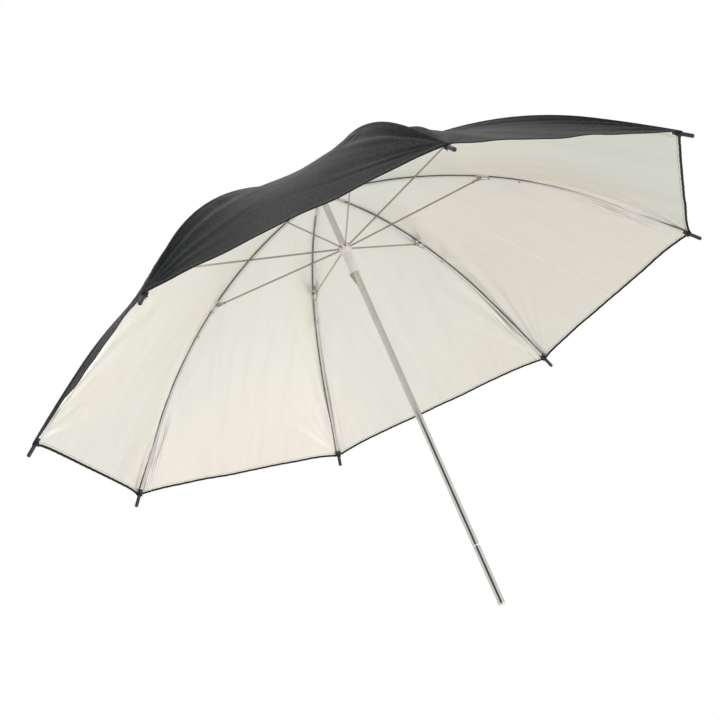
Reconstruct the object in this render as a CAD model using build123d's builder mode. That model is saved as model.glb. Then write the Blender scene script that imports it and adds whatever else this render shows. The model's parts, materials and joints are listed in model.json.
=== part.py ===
"""Folding umbrella reflector: a canopy on eight hinged ribs, opened by a runner that slides on the shaft."""

import os
from math import atan2, cos, hypot, pi, radians, sin

from build123d import *

# ---------------------------------------------------------------- driving dimensions (mm)
RIB_COUNT = 8
RIB_STEP = 360 / RIB_COUNT

SHAFT_RADIUS = 4.0
SHAFT_WALL = 0.6
SHAFT_TOP = 549.0
PIN_RADIUS = 0.5
CRIMP_HEIGHT = 70.0
CRIMP_DEPTH = 0.35

PIVOT_RADIUS = 6.2          # radius of both ring wires: rib hinges and stretcher hinges
NOTCH_HEIGHT = 538.0        # height of the rib hinges above the free end of the shaft
JOINT_RADIUS = 200.0        # rib-to-stretcher rivet, canopy open
JOINT_HEIGHT = 501.0
RUNNER_HEIGHT = 2 * JOINT_HEIGHT - NOTCH_HEIGHT     # stretcher hinges: equal arms keep the runner straight

SHOULDER = (340.0, 416.5)   # radius and height where the rib starts to straighten
BEND = (410.0, 353.5)       # radius and height where the straight end of the rib starts
RIB_END_RADIUS = 418.5
SLEEVE_START_RADIUS = 412.5     # the tip's sleeve on the rib, under the canopy's corner
SLEEVE_END_RADIUS = 419.8
TIP_END_RADIUS = 430.3

RIB_WIDTH = 3.2
RIB_RISE = 2.0              # rib line to the outer edge of the rib
RIB_DROP = 1.0              # rib line to the inner edge of the rib
RIB_WALL = 0.5
RIB_CHAMFER = 0.5           # edges of the rib that face the shaft side
SLEEVE_WALL = 0.5
SLEEVE_CORNER = 1.2
STUB_RADIUS = 2.25
TONGUE_WIDTH = 1.0
TONGUE_LENGTH = 10.0
CHANNEL_START = 5.0         # distance from the hinge where the full width begins

WIRE_RADIUS = 0.4
EYE_RADIUS = 1.15
EYE_HOLE_RADIUS = 0.47
RIVET_RADIUS = 0.5
RIVET_HOLE_RADIUS = 0.56

STRETCHER_HALF_HEIGHT = 1.0
FORK_EYE_RADIUS = 1.4
FORK_INNER = 1.85           # half of the gap between the fork ears
FORK_OUTER = 2.45
FORK_BRIDGE = 7.5           # distance from the rivet where the ears meet the bar
FORK_LENGTH = 14.0

RING_RADIUS = 7.6           # notch and runner head
SLOT_WIDTH = 1.5
SLOT_DEPTH_RADIUS = 4.75
NOTCH_BOTTOM = NOTCH_HEIGHT - 3.5
NOTCH_TOP = NOTCH_HEIGHT + 2.5
RUNNER_BOTTOM = 429.4
RUNNER_BORE = 4.25
RUNNER_TUBE_RADIUS = 5.6
RUNNER_LIP_RADIUS = 6.2

CATCH_LOW = 411.5
CATCH_HIGH = RUNNER_BOTTOM - 0.3
CATCH_PIVOT = 404.0
CATCH_PROUD = 3.8
CATCH_WIDTH = 1.2

PANEL_CLEARANCE = 1.2       # rib edge to canopy
PANEL_THICKNESS = 0.6
PANEL_GAP = 0.3             # seam plane to panel edge
PANEL_INNER_RADIUS = 5.4
PANEL_OUTER_RADIUS = 419.5
CANOPY_SAG = 14.0           # deepest hollow of a gore between two ribs
HEM_HOLLOW = 5.0            # middle of the hem, pulled in towards the top

os.makedirs("parts", exist_ok=True)


# ---------------------------------------------------------------- rib line
def rib_arcs():
    """The rib line as tangent arcs: (length, turn) of each, starting level at the hinge."""
    corners = [(PIVOT_RADIUS, NOTCH_HEIGHT), (JOINT_RADIUS, JOINT_HEIGHT), SHOULDER, BEND]
    arcs = []
    slope = 0.0
    for (r0, z0), (r1, z1) in zip(corners, corners[1:]):
        turn = 2 * (atan2(z0 - z1, r1 - r0) - slope)
        chord = hypot(r1 - r0, z1 - z0)
        arcs.append((chord * (turn / 2) / sin(turn / 2), turn))
        slope += turn
    return arcs


ARCS = rib_arcs()
END_SLOPE = sum(turn for _, turn in ARCS)
ARC_LENGTH = sum(length for length, _ in ARCS)


def rib_station(distance):
    """Radius, height and downward slope of the rib line at a distance from the hinge."""
    radius, height, slope = PIVOT_RADIUS, NOTCH_HEIGHT, 0.0
    for length, turn in ARCS:
        step = min(distance, length)
        half = turn * step / length / 2
        chord = step if half == 0 else step / half * sin(half)
        radius += chord * cos(slope + half)
        height -= chord * sin(slope + half)
        slope += 2 * half
        distance -= step
        if distance <= 0:
            return radius, height, slope
    return radius + distance * cos(END_SLOPE), height - distance * sin(END_SLOPE), END_SLOPE


def straight_distance(radius):
    """Distance along the rib line of a point on its straight end, from the point's radius."""
    return ARC_LENGTH + (radius - BEND[0]) / cos(END_SLOPE)


def risen(distance, rise):
    """Point at a rise outward from the rib line, as (radius, height)."""
    radius, height, slope = rib_station(distance)
    return radius + rise * sin(slope), height + rise * cos(slope)


def rib_edge(start, end, rise):
    """Draws the rib's edge at one rise, between two distances, as arcs and a straight end."""
    distance = 0.0
    for length, _ in ARCS:
        first = max(start, distance)
        distance += length
        slope = rib_station(first)[2]
        TangentArc(risen(first, rise), risen(distance, rise), tangent=(cos(slope), -sin(slope)))
    Line(risen(ARC_LENGTH, rise), risen(end, rise))


def rib_plane(angle, shift=0.0):
    """Vertical plane through the shaft's axis at an angle, its x outward and its y up."""
    outward = Vector(cos(radians(angle)), sin(radians(angle)), 0)
    normal = Vector(sin(radians(angle)), -cos(radians(angle)), 0)
    return Plane(origin=normal * shift, x_dir=outward, z_dir=normal)


def strip(plane, start, end, low, high):
    """Sketch of the strip between two rises from the rib line."""
    with BuildSketch(plane) as sketch:
        with BuildLine():
            rib_edge(start, end, low)
            rib_edge(start, end, high)
            Line(risen(start, low), risen(start, high))
            Line(risen(end, low), risen(end, high))
        make_face()
    return sketch.sketch


def finish(part, name):
    """Labels a finished piece and writes it."""
    part.label = name
    export_step(part, f"parts/{name}.step")


# ---------------------------------------------------------------- shaft and its fittings
CATCH_SLOT_LOW = CATCH_LOW - 1.5
CATCH_SLOT_HIGH = CATCH_HIGH + 0.8
COLLAR_HEIGHT = 2.5
COLLAR_RADIUS = 5.6
NOTCH_PIN_HEIGHT = NOTCH_BOTTOM - COLLAR_HEIGHT / 2


def cross_pin(height):
    """Sketch of a pin's section, across the shaft at a height."""
    with BuildSketch(Plane.XZ) as sketch:
        with Locations((0, height)):
            Circle(PIN_RADIUS)
    return sketch.sketch


with BuildPart() as shaft_tube:
    with BuildSketch():
        Circle(SHAFT_RADIUS)
        Circle(SHAFT_RADIUS - SHAFT_WALL, mode=Mode.SUBTRACT)
    extrude(amount=SHAFT_TOP)
    with BuildSketch(Plane.XZ) as crimp:
        with Locations((SHAFT_RADIUS + 2.0 - CRIMP_DEPTH, CRIMP_HEIGHT)):
            Circle(2.0)
    revolve(axis=Axis.Z, mode=Mode.SUBTRACT)
    with BuildSketch(Plane.YZ) as catch_window:
        with Locations((0, (CATCH_SLOT_LOW + CATCH_SLOT_HIGH) / 2)):
            Rectangle(CATCH_WIDTH + 0.5, CATCH_SLOT_HIGH - CATCH_SLOT_LOW)
    extrude(amount=SHAFT_RADIUS + 1, mode=Mode.SUBTRACT)
    extrude(cross_pin(NOTCH_PIN_HEIGHT), amount=SHAFT_RADIUS + 1, both=True, mode=Mode.SUBTRACT)
    extrude(cross_pin(CATCH_PIVOT), amount=SHAFT_RADIUS + 1, both=True, mode=Mode.SUBTRACT)
finish(shaft_tube.part, "shaft_tube")

with BuildPart() as shaft_end_plug:
    with BuildSketch():
        Circle(SHAFT_RADIUS - SHAFT_WALL)
    extrude(amount=9.0)
    with BuildSketch():
        Circle(SHAFT_RADIUS - 0.3)
    extrude(amount=-1.2)
    fillet(shaft_end_plug.edges().sort_by(Axis.Z)[0], radius=1.0)
finish(shaft_end_plug.part, "shaft_end_plug")

with BuildPart() as spring_catch:
    with BuildSketch(Plane.XZ.offset(-CATCH_WIDTH / 2)):
        with BuildLine():
            Polyline(
                (-1.4, CATCH_PIVOT - 6),
                (1.4, CATCH_PIVOT - 6),
                (1.4, CATCH_LOW - 4),
                (SHAFT_RADIUS - 0.4, CATCH_LOW),
                (SHAFT_RADIUS + CATCH_PROUD, CATCH_HIGH - 1.6),
                (SHAFT_RADIUS + CATCH_PROUD, CATCH_HIGH),
                (1.6, CATCH_HIGH),
                (-0.6, CATCH_LOW - 4),
                (-1.4, CATCH_PIVOT - 6),
            )
        make_face()
        with Locations((0, CATCH_PIVOT)):
            Circle(PIN_RADIUS + 0.05, mode=Mode.SUBTRACT)
    extrude(amount=CATCH_WIDTH)
finish(spring_catch.part, "spring_catch")


def ring_slots(low):
    """Sketch of the radial slots of the notch or the runner's head, open outward."""
    slot_length = RING_RADIUS + 1 - SLOT_DEPTH_RADIUS
    with BuildSketch(Plane.XY.offset(low)) as sketch:
        with PolarLocations(SLOT_DEPTH_RADIUS + slot_length / 2, RIB_COUNT):
            Rectangle(slot_length, SLOT_WIDTH)
    return sketch.sketch


def wire_section(height):
    """Sketch of a ring wire's section."""
    with BuildSketch(Plane.XZ) as sketch:
        with Locations((PIVOT_RADIUS, height)):
            Circle(WIRE_RADIUS)
    return sketch.sketch


NOTCH_SLOT_BOTTOM = NOTCH_BOTTOM - 1
NOTCH_SLOT_TOP = NOTCH_HEIGHT + EYE_RADIUS + 0.25


with BuildPart() as notch:
    with BuildSketch(Plane.XY.offset(NOTCH_BOTTOM)):
        Circle(RING_RADIUS)
        Circle(SHAFT_RADIUS, mode=Mode.SUBTRACT)
    extrude(amount=NOTCH_TOP - NOTCH_BOTTOM)
    chamfer(notch.edges().group_by(Axis.Z)[0].sort_by(SortBy.RADIUS)[-1], length=0.6)
    extrude(ring_slots(NOTCH_SLOT_BOTTOM), amount=NOTCH_SLOT_TOP - NOTCH_SLOT_BOTTOM, mode=Mode.SUBTRACT)
    revolve(wire_section(NOTCH_HEIGHT), axis=Axis.Z, mode=Mode.SUBTRACT)
    with BuildSketch(Plane.XY.offset(NOTCH_BOTTOM - COLLAR_HEIGHT)):
        Circle(COLLAR_RADIUS)
        Circle(SHAFT_RADIUS, mode=Mode.SUBTRACT)
    extrude(amount=COLLAR_HEIGHT)
    extrude(cross_pin(NOTCH_PIN_HEIGHT), amount=COLLAR_RADIUS, both=True, mode=Mode.SUBTRACT)
finish(notch.part, "notch")

with BuildPart() as notch_wire:
    revolve(wire_section(NOTCH_HEIGHT), axis=Axis.Z)
finish(notch_wire.part, "notch_wire")

WASHER_BOTTOM = NOTCH_HEIGHT + RIB_RISE + PANEL_CLEARANCE + PANEL_THICKNESS + 0.3
WASHER_THICKNESS = 1.4
WASHER_RADIUS = 9.0
CAP_RADIUS = 7.5
CAP_HEIGHT = 9.5

with BuildPart() as canopy_washer:
    with BuildSketch(Plane.XY.offset(WASHER_BOTTOM)):
        Circle(WASHER_RADIUS)
        Circle(SHAFT_RADIUS, mode=Mode.SUBTRACT)
    extrude(amount=WASHER_THICKNESS)
finish(canopy_washer.part, "canopy_washer")

CAP_BOTTOM = WASHER_BOTTOM + WASHER_THICKNESS

with BuildPart() as top_cap:
    with BuildSketch(Plane.XY.offset(CAP_BOTTOM)):
        Circle(CAP_RADIUS)
    extrude(amount=CAP_HEIGHT, taper=8)
    fillet(top_cap.edges().sort_by(Axis.Z)[-1], radius=3.5)
    with BuildSketch(Plane.XY.offset(CAP_BOTTOM)):
        Circle(SHAFT_RADIUS)
    extrude(amount=SHAFT_TOP - CAP_BOTTOM, mode=Mode.SUBTRACT)
finish(top_cap.part, "top_cap")

with BuildPart() as notch_pin:
    extrude(cross_pin(NOTCH_PIN_HEIGHT), amount=COLLAR_RADIUS - 0.3, both=True)
finish(notch_pin.part, "notch_pin")

with BuildPart() as catch_pin:
    extrude(cross_pin(CATCH_PIVOT), amount=SHAFT_RADIUS - 0.1, both=True)
finish(catch_pin.part, "catch_pin")

# ---------------------------------------------------------------- runner
HEAD_BOTTOM = RUNNER_HEIGHT - EYE_RADIUS - 3.0
HEAD_TOP = RUNNER_HEIGHT + 3.5
RUNNER_SLOT_BOTTOM = RUNNER_HEIGHT - EYE_RADIUS - 0.25

with BuildPart() as runner:
    with BuildSketch(Plane.XY.offset(RUNNER_BOTTOM)):
        Circle(RUNNER_LIP_RADIUS)
    extrude(amount=2.2)
    with BuildSketch(Plane.XY.offset(RUNNER_BOTTOM)):
        Circle(RUNNER_TUBE_RADIUS)
    extrude(amount=HEAD_TOP - RUNNER_BOTTOM)
    with BuildSketch(Plane.XZ):
        with BuildLine():
            Polyline(
                (0, HEAD_BOTTOM - 3),
                (RUNNER_TUBE_RADIUS, HEAD_BOTTOM - 3),
                (RING_RADIUS, HEAD_BOTTOM),
                (RING_RADIUS, HEAD_TOP),
                (0, HEAD_TOP),
                (0, HEAD_BOTTOM - 3),
            )
        make_face()
    revolve(axis=Axis.Z)
    extrude(ring_slots(RUNNER_SLOT_BOTTOM), amount=HEAD_TOP + 1 - RUNNER_SLOT_BOTTOM, mode=Mode.SUBTRACT)
    revolve(wire_section(RUNNER_HEIGHT), axis=Axis.Z, mode=Mode.SUBTRACT)
    with BuildSketch(Plane.XY.offset(RUNNER_BOTTOM - 1)):
        Circle(RUNNER_BORE)
    extrude(amount=HEAD_TOP - RUNNER_BOTTOM + 2, mode=Mode.SUBTRACT)
finish(runner.part, "runner")

with BuildPart() as runner_wire:
    revolve(wire_section(RUNNER_HEIGHT), axis=Axis.Z)
finish(runner_wire.part, "runner_wire")


# ---------------------------------------------------------------- ribs
def inner_edges(rib, plane, end):
    """The rib's long edges on the shaft side, told by their middles on the inner edge line."""
    lengths = [length for length, _ in ARCS]
    stops = [CHANNEL_START] + [sum(lengths[:count]) for count in (1, 2, 3)] + [end]
    middles = [risen((first + last) / 2, -RIB_DROP) for first, last in zip(stops, stops[1:])]

    def is_inner(edge):
        place = plane.to_local_coords(edge @ 0.5)
        near = [hypot(place.X - radius, place.Y - height) for radius, height in middles]
        return edge.length > 2 * RIB_WIDTH and min(near) < 0.05

    return rib.edges().filter_by(is_inner)


def make_rib(angle):
    """Channel rib, open towards the canopy, with a flat hinge tongue and rivet holes."""
    end = straight_distance(RIB_END_RADIUS)
    plane = rib_plane(angle)
    outer = strip(plane, CHANNEL_START, end, -RIB_DROP, RIB_RISE)
    groove = strip(plane, TONGUE_LENGTH, end + 1, RIB_WALL - RIB_DROP, RIB_RISE + 1)
    with BuildPart() as rib:
        extrude(outer, amount=RIB_WIDTH / 2, both=True)
        chamfer(inner_edges(rib, plane, end), length=RIB_CHAMFER)
        extrude(groove, amount=RIB_WIDTH / 2 - RIB_WALL, both=True, mode=Mode.SUBTRACT)
        with BuildSketch(plane):
            with Locations((PIVOT_RADIUS, NOTCH_HEIGHT)):
                Circle(EYE_RADIUS)
            with Locations((PIVOT_RADIUS + CHANNEL_START / 2, NOTCH_HEIGHT)):
                Rectangle(CHANNEL_START + 0.4, 2 * RIB_DROP)
        extrude(amount=TONGUE_WIDTH / 2, both=True)
        with BuildSketch(plane):
            with Locations((PIVOT_RADIUS, NOTCH_HEIGHT)):
                Circle(EYE_HOLE_RADIUS)
            with Locations((JOINT_RADIUS, JOINT_HEIGHT)):
                Circle(RIVET_RADIUS)
        extrude(amount=RIB_WIDTH, both=True, mode=Mode.SUBTRACT)
    return rib.part


def make_rivet(angle):
    """Rivet through the rib's walls and the stretcher's fork, headed at both ends."""
    plane = rib_plane(angle)
    head_gap = FORK_OUTER + 0.1
    with BuildPart() as rivet:
        with BuildSketch(plane):
            with Locations((JOINT_RADIUS, JOINT_HEIGHT)):
                Circle(RIVET_RADIUS)
        extrude(amount=head_gap, both=True)
        for side in (1, -1):
            with BuildSketch(plane.offset(side * head_gap)):
                with Locations((JOINT_RADIUS, JOINT_HEIGHT)):
                    Circle(1.1)
            extrude(amount=side * 0.4)
    return rivet.part


def make_rib_tip(angle):
    """Plastic tip: a sleeve pushed over the end of the rib, and a thin round stub beyond the canopy."""
    start = straight_distance(SLEEVE_START_RADIUS)
    base = risen(start, (RIB_RISE - RIB_DROP) / 2)
    plane = rib_plane(angle)
    along = plane.x_dir * cos(END_SLOPE) + Vector(0, 0, -sin(END_SLOPE))
    sleeve = Plane(origin=plane.from_local_coords(Vector(*base)), x_dir=plane.z_dir, z_dir=along)
    height = RIB_RISE + RIB_DROP
    with BuildPart() as tip:
        with BuildSketch(sleeve):
            Circle(STUB_RADIUS)
        extrude(amount=straight_distance(TIP_END_RADIUS) - start)
        fillet(tip.faces().sort_by(Axis((0, 0, 0), along))[-1].edges(), radius=STUB_RADIUS - 0.6)
        with BuildSketch(sleeve):
            RectangleRounded(RIB_WIDTH + 2 * SLEEVE_WALL, height + 2 * SLEEVE_WALL, SLEEVE_CORNER)
        extrude(amount=straight_distance(SLEEVE_END_RADIUS) - start)
        with BuildSketch(sleeve):
            Rectangle(RIB_WIDTH, height)
        extrude(amount=straight_distance(RIB_END_RADIUS) - start, mode=Mode.SUBTRACT)
    return tip.part


# ---------------------------------------------------------------- stretchers
STRETCHER_LENGTH = hypot(JOINT_RADIUS - PIVOT_RADIUS, JOINT_HEIGHT - RUNNER_HEIGHT)
STRETCHER_LIFT = atan2(JOINT_HEIGHT - RUNNER_HEIGHT, JOINT_RADIUS - PIVOT_RADIUS)


def stretcher_plane(angle):
    """Rib plane moved to the rivet, its x along the stretcher towards the runner."""
    plane = rib_plane(angle)
    inward = plane.x_dir * -cos(STRETCHER_LIFT) + Vector(0, 0, -sin(STRETCHER_LIFT))
    rivet = plane.from_local_coords(Vector(JOINT_RADIUS, JOINT_HEIGHT))
    return Plane(origin=rivet, x_dir=inward, z_dir=plane.z_dir)


def make_stretcher(angle):
    """Thin bar with a flat eye at the runner and a fork over the rib."""
    plane = stretcher_plane(angle)
    with BuildPart() as stretcher:
        with BuildSketch(plane):
            Circle(FORK_EYE_RADIUS)
            with Locations((FORK_LENGTH / 2, 0)):
                Rectangle(FORK_LENGTH, 2 * STRETCHER_HALF_HEIGHT)
        extrude(amount=FORK_OUTER, both=True)
        with BuildSketch(plane):
            with Locations((FORK_BRIDGE / 2 - 2, 0)):
                Rectangle(FORK_BRIDGE + 4, 4 * FORK_EYE_RADIUS)
        extrude(amount=FORK_INNER, both=True, mode=Mode.SUBTRACT)
        with BuildSketch(plane):
            with Locations(((FORK_LENGTH + STRETCHER_LENGTH) / 2, 0)):
                Rectangle(STRETCHER_LENGTH - FORK_LENGTH, 2 * STRETCHER_HALF_HEIGHT)
            with Locations((STRETCHER_LENGTH, 0)):
                Circle(EYE_RADIUS)
        extrude(amount=TONGUE_WIDTH / 2, both=True)
        with BuildSketch(plane):
            with Locations((0, 0)):
                Circle(RIVET_HOLE_RADIUS)
            with Locations((STRETCHER_LENGTH, 0)):
                Circle(EYE_HOLE_RADIUS)
        extrude(amount=2 * FORK_OUTER, both=True, mode=Mode.SUBTRACT)
    return stretcher.part


# ---------------------------------------------------------------- canopy
PANEL_LENGTH = straight_distance(PANEL_OUTER_RADIUS)
PANEL_STATIONS = [PANEL_LENGTH * step / 8 for step in range(9)]


def seam_profile(rise):
    """Points of a gore's edge above the rib, from the top to the hem."""
    points = [risen(distance, rise) for distance in PANEL_STATIONS]
    return [(PANEL_INNER_RADIUS, points[0][1])] + points[1:]


def middle_profile(rise):
    """Points of a gore's middle line: the chord between two ribs, hollowed by the sag."""
    spread = cos(pi / RIB_COUNT)
    points = []
    for distance in PANEL_STATIONS:
        part = distance / PANEL_LENGTH
        hollow = CANOPY_SAG * sin(pi * part ** 1.3)
        radius, height, slope = rib_station(distance - HEM_HOLLOW * part ** 3)
        lift = rise - hollow
        points.append(((radius + lift * sin(slope)) * spread, height + lift * cos(slope)))
    return [(PANEL_INNER_RADIUS * spread, points[0][1])] + points[1:]


def gore_section(plane, profile):
    """Sketch of a gore's thin section in one plane."""
    inner = profile(RIB_RISE + PANEL_CLEARANCE)
    outer = profile(RIB_RISE + PANEL_CLEARANCE + PANEL_THICKNESS)
    with BuildSketch(plane) as sketch:
        with BuildLine():
            Spline(*inner)
            Spline(*outer)
            Line(inner[0], outer[0])
            Line(inner[-1], outer[-1])
        make_face()
    return sketch.sketch


def make_panel(angle):
    """One gore of the canopy, between the rib at an angle and the next."""
    sections = [
        gore_section(rib_plane(angle, -PANEL_GAP), seam_profile),
        gore_section(rib_plane(angle + RIB_STEP / 2), middle_profile),
        gore_section(rib_plane(angle + RIB_STEP, PANEL_GAP), seam_profile),
    ]
    with BuildPart() as panel:
        loft(sections)
    return panel.part


for number in range(1, RIB_COUNT + 1):
    turn = (number - 1) * RIB_STEP
    finish(make_rib(turn), f"rib_{number}")
    finish(make_rivet(turn), f"rib_rivet_{number}")
    finish(make_rib_tip(turn), f"rib_tip_{number}")
    finish(make_stretcher(turn), f"stretcher_{number}")
    finish(make_panel(turn), f"canopy_panel_{number}")
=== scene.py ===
import json
from math import atan2, cos, hypot, pi, radians, sin

import bpy
import numpy as np
from mathutils import Matrix, Vector

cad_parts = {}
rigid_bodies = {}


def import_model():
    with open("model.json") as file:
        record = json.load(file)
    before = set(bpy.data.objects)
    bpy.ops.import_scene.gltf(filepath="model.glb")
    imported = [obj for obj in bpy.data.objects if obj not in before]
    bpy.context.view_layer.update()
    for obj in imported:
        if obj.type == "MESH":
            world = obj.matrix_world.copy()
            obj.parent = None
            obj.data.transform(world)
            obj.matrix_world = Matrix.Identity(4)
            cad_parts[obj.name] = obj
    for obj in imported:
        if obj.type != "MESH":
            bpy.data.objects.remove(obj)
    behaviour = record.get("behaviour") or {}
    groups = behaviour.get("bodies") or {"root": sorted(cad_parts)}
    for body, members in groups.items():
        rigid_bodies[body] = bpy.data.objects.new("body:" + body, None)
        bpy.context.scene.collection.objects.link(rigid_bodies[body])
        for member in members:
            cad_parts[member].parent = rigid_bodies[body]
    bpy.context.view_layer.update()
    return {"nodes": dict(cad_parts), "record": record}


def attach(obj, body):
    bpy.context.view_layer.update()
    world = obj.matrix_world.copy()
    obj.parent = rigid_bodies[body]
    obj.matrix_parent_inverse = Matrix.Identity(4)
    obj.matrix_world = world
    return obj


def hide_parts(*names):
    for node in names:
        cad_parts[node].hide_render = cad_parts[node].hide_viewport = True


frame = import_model()

# ---------------------------------------------------------------- the frame's places (metres)
RIBS = 8
RIB_STEP = 360 / RIBS
JOINTS = {joint["name"]: joint for joint in frame["record"]["behaviour"]["joints"]}
HINGE = (JOINTS["rib_1_fold"]["pos_m"][0], JOINTS["rib_1_fold"]["pos_m"][2])
RIVET = (JOINTS["stretcher_1_swing"]["pos_m"][0], JOINTS["stretcher_1_swing"]["pos_m"][2])
SHOULDER = (0.340, 0.4165)  # radius and height where the rib's last two arcs meet
BEND = (0.410, 0.3535)      # and where its straight end begins
CORNER_RADIUS = 0.4198      # end of the rib tip's sleeve, at the canopy's corner
TIP_WRAP_RADIUS = 0.4170    # middle of the thread wrapped around the rib's tip
TIE_RADIUS = 0.2430         # where the canopy is tied to each rib
RIB_RISE = 0.0020           # rib line to the rib's outer edge

# ---------------------------------------------------------------- the cloth (metres)
CLOTH_THICKNESS = 0.0005
CLOTH_RISE = RIB_RISE + 0.00115     # rib line to the middle of the cloth
TOP_RADIUS = 0.0052         # where the cloth begins at the top
SAG = 0.0140                # deepest hollow of a gore
SAG_SHARES = {1: 0.4}       # gores that hang less hollow
HEM_HOLLOW = 0.0042         # hem between two tips, pulled in
HOLLOW_POWER = 9            # the higher, the nearer to the tips the hem turns in
HEM_OUTSIDE = 0.0080        # width of the hem on each side of the cloth
HEM_INSIDE = 0.0024
HEM_FOLD = 0.0011           # last row of points before the edge
STITCH_LINE = 0.0045        # stitches inside, from the edge
FINEST_CREASE = 0.0022
CORNER_SEED, TIE_SEED, PLEAT_SEED, FOLD_SEED, PAD_SEED = 40, 80, 160, 7, 300
ROWS = 112
COLUMNS = 81
SEAM_ROWS = slice(6, -1)    # rows of points that the seam strips cover
HEM_ROWS = 5                # rows of points from the hem's outside edge on
SEAM_OUTSIDE_REACH = 0.0032     # half the width of each seam strip
SEAM_INSIDE_REACH = 0.0027
SEAM_BURIED = 0.00020       # how far a strip's hidden face is from the middle of the cloth
PLEAT_DEPTHS = {(7, 1): 2.0, (6, 1): 1.8, (6, 0): 1.4, (5, 0): 1.6}     # by gore and side


# ---------------------------------------------------------------- rib line
def rib_arcs():
    """The rib line as tangent arcs: (length, turn) of each, starting level at the hinge."""
    corners = [HINGE, RIVET, SHOULDER, BEND]
    arcs = []
    slope = 0.0
    for (r0, z0), (r1, z1) in zip(corners, corners[1:]):
        turn = 2 * (atan2(z0 - z1, r1 - r0) - slope)
        arcs.append((hypot(r1 - r0, z1 - z0) * (turn / 2) / sin(turn / 2), turn))
        slope += turn
    return arcs


ARCS = rib_arcs()
END_SLOPE = sum(turn for _, turn in ARCS)
ARC_LENGTH = sum(length for length, _ in ARCS)
GORE_LENGTH = ARC_LENGTH + (CORNER_RADIUS - BEND[0]) / cos(END_SLOPE)


def rib_table(step=0.0005, run_out=0.03):
    """Distance, radius, height and downward slope at close points along the rib line, and straight on."""
    table = []
    radius, height, slope, distance = HINGE[0], HINGE[1], 0.0, 0.0
    for length, turn in ARCS + [(run_out, 0.0)]:
        parts = round(length / step)
        for _ in range(parts):
            table.append((distance, radius, height, slope))
            half = turn / parts / 2
            radius += length / parts * cos(slope + half)
            height -= length / parts * sin(slope + half)
            slope += 2 * half
            distance += length / parts
    return np.array(table).T


RIB_TABLE = rib_table()


def rib_station(distance):
    """Radius, height and downward slope of the rib line at one or more distances from the hinge."""
    return tuple(np.interp(distance, RIB_TABLE[0], row) for row in RIB_TABLE[1:])


def straight_distance(radius):
    """Distance along the rib line of a point on its straight end, from the point's radius."""
    return ARC_LENGTH + (radius - BEND[0]) / cos(END_SLOPE)


RIVET_DISTANCE = ARCS[0][0]
TIE_DISTANCE = float(np.interp(TIE_RADIUS, RIB_TABLE[1], RIB_TABLE[0]))


def outward(angle):
    """Level unit vector away from the shaft at an angle in degrees."""
    return np.array([cos(radians(angle)), sin(radians(angle)), 0.0])


def rib_point(angle, distance, rise, side=0.0):
    """Points beside a rib: along it, outward from its line and across it."""
    radius, height, slope = (np.asarray(v)[..., None] for v in rib_station(distance))
    across = np.array([-sin(radians(angle)), cos(radians(angle)), 0.0])
    point = outward(angle) * (radius + rise * np.sin(slope)) + across * side
    return point + np.array([0.0, 0.0, 1.0]) * (height + rise * np.cos(slope))


# ---------------------------------------------------------------- meshes
def add_object(name, vertices, faces, smooth=True):
    """A mesh object in the row frame."""
    mesh = bpy.data.meshes.new(name)
    mesh.from_pydata([tuple(map(float, v)) for v in vertices], [], faces)
    mesh.validate()
    mesh.polygons.foreach_set("use_smooth", [smooth] * len(mesh.polygons))
    piece = bpy.data.objects.new(name, mesh)
    bpy.context.scene.collection.objects.link(piece)
    return piece


def grid_faces(rows, columns, start=0, flip=False, wrap=False):
    """Quads of a grid of points, rows by columns."""
    faces = []
    for i in range(rows - 1):
        for j in range(columns if wrap else columns - 1):
            k = (j + 1) % columns
            quad = (
                start + i * columns + j,
                start + i * columns + k,
                start + (i + 1) * columns + k,
                start + (i + 1) * columns + j,
            )
            faces.append(quad[::-1] if flip else quad)
    return faces


def shell_faces(rows, columns):
    """Faces of a thin closed shell of two grids, the outer one first: outside, inside and rim."""
    count = rows * columns
    outside = grid_faces(rows, columns, 0, flip=True)
    inside = grid_faces(rows, columns, count)
    border = list(range(columns))
    border += [i * columns + columns - 1 for i in range(1, rows)]
    border += [(rows - 1) * columns + j for j in range(columns - 2, -1, -1)]
    border += [i * columns for i in range(rows - 2, 0, -1)]
    rim = [(a, b, b + count, a + count) for a, b in zip(border, border[1:] + border[:1])]
    return outside, inside, rim


def rod_faces(rings, sides):
    """Faces of a closed-end rod of rings of points."""
    faces = grid_faces(rings, sides, wrap=True)
    faces.append(tuple(range(sides))[::-1])
    faces.append(tuple((rings - 1) * sides + step for step in range(sides)))
    return faces


def lengths_along(line):
    """Distance of each point of a line from its first one."""
    return np.concatenate([[0.0], np.cumsum(np.linalg.norm(np.diff(line, axis=0), axis=1))])


def tube(path, radius, sides=8):
    """Vertices and faces of a closed-end tube along a path of points; radius is a number or one per point."""
    path = [Vector(p) for p in path]
    radii = radius if hasattr(radius, "__len__") else [radius] * len(path)
    normal = Vector((0.3, 0.2, 0.93))       # start for the direction across the path
    points = []
    for index, centre in enumerate(path):
        ahead = path[min(index + 1, len(path) - 1)] - path[max(index - 1, 0)]
        ahead.normalize()
        normal = (normal - ahead * normal.dot(ahead)).normalized()
        side = ahead.cross(normal)
        for step in range(sides):
            turn = 2 * pi * step / sides
            points.append(centre + (normal * cos(turn) + side * sin(turn)) * radii[index])
    return points, rod_faces(len(path), sides)


def joined(parts):
    """Several (vertices, faces) as one."""
    vertices, faces = [], []
    for points, quads in parts:
        start = len(vertices)
        vertices += list(points)
        faces += [tuple(start + i for i in face) for face in quads]
    return vertices, faces


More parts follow.
